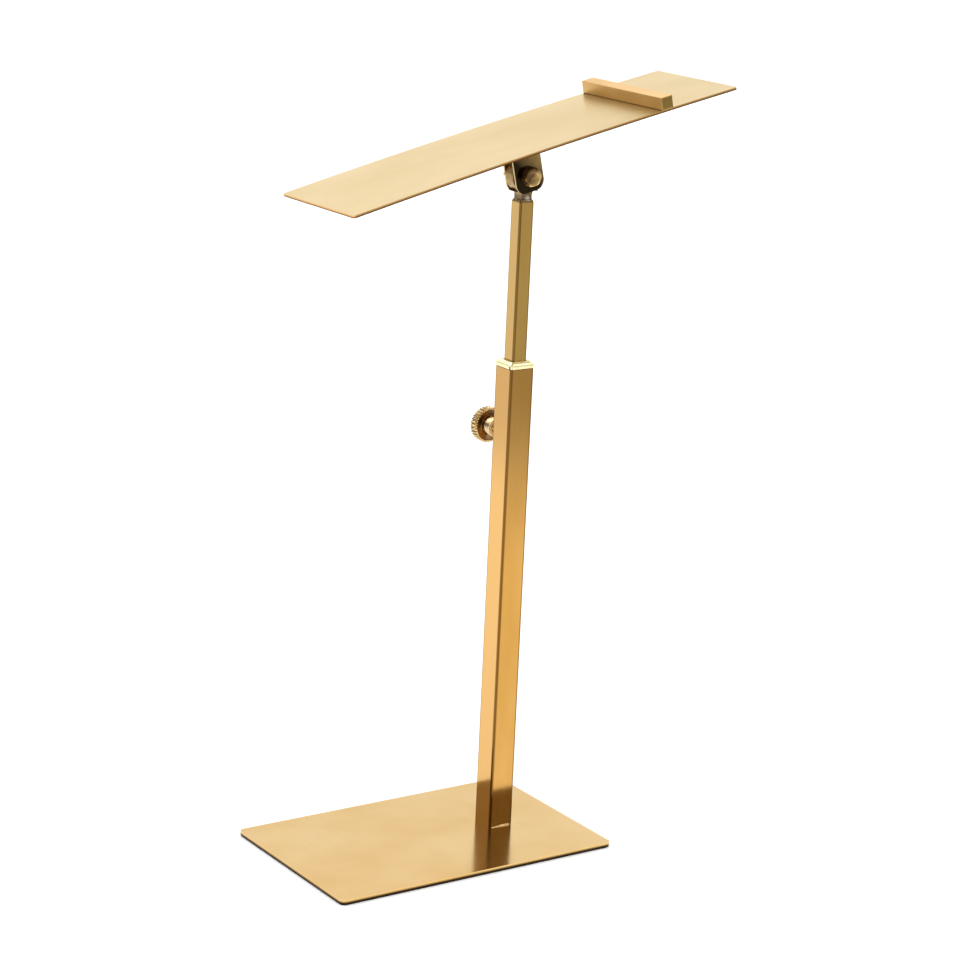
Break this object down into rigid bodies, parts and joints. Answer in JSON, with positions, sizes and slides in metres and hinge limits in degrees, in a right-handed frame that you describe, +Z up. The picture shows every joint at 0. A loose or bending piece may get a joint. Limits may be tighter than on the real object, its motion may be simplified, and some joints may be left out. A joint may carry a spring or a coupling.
{
  "type": "shoe display stand",
  "caption": "Metal shoe display stand: flat base, clamped telescopic square post and a tilting plate with a heel-stop bar.",
  "frame": {"origin": "centre of the base's underside, on the ground", "axes": "+Z up; +X along the base's long side towards the post and the plate's raised end; the thumb screw is on the +Y side"},
  "size_m": [0.2598, 0.118, 0.4421],
  "materials": {
    "brushed_gold": "satin brushed, gold-coated steel",
    "pale_brushed_gold": "fine satin brushed, gold-coated steel",
    "polished_gold": "mirror polished",
    "hinge_gold": "tumbled, slightly dull",
    "turned_brass": "turned, knurled",
    "screw_gold": "plated, glossy",
    "weld_metal": "ground weld bead",
    "black_foam": "matt closed-cell foam",
    "black_nylon": "moulded nylon",
    "dark_fibre": "pressed fibre washer"
  },
  "bodies": {
    "stand": {"base_plate": "brushed_gold", "base_pad": "black_foam", "outer_post": "brushed_gold", "foot_welds": "weld_metal", "top_collar": "polished_gold", "collar_liner": "black_nylon", "thread_insert": "turned_brass"},
    "inner_mast": {"inner_post": "brushed_gold", "post_guide": "black_nylon", "knuckle": "hinge_gold", "neck_weld": "weld_metal", "friction_washers": "dark_fibre"},
    "display_head": {"fork_bracket": "hinge_gold", "fork_welds": "weld_metal", "pivot_bolt": "screw_gold", "pivot_washer": "screw_gold", "spring_washer": "screw_gold", "pivot_nut": "screw_gold", "top_plate": "pale_brushed_gold", "stop_bar": "brushed_gold", "stop_bar_tacks": "weld_metal"},
    "clamp_tip": {"clamp_pad": "turned_brass"},
    "thumb_screw": {"thumb_knob": "turned_brass", "screw_stud": "screw_gold"}
  },
  "joints": [
    {"name": "mast_height", "type": "slide", "parent": "stand", "child": "inner_mast", "axis": [0, 0, 1], "range_m": [-0.095, 0.098]},
    {"name": "plate_tilt", "type": "hinge", "parent": "inner_mast", "child": "display_head", "pos_m": [0.048, 0, 0.392], "axis": [0, 1, 0], "range_deg": [-61.8, 88.2]},
    {"name": "clamp_travel", "type": "slide", "parent": "stand", "child": "clamp_tip", "axis": [0, 1, 0], "range_m": [0, 0.002]},
    {"name": "screw_turn", "type": "hinge", "parent": "clamp_tip", "child": "thumb_screw", "pos_m": [0.048, 0.02, 0.2419], "axis": [0, 1, 0], "range_deg": [0, 720]}
  ],
  "couplings": [
    {"joint": "screw_turn", "follows": "clamp_travel", "rad_per_m": 6283.2}
  ]
}
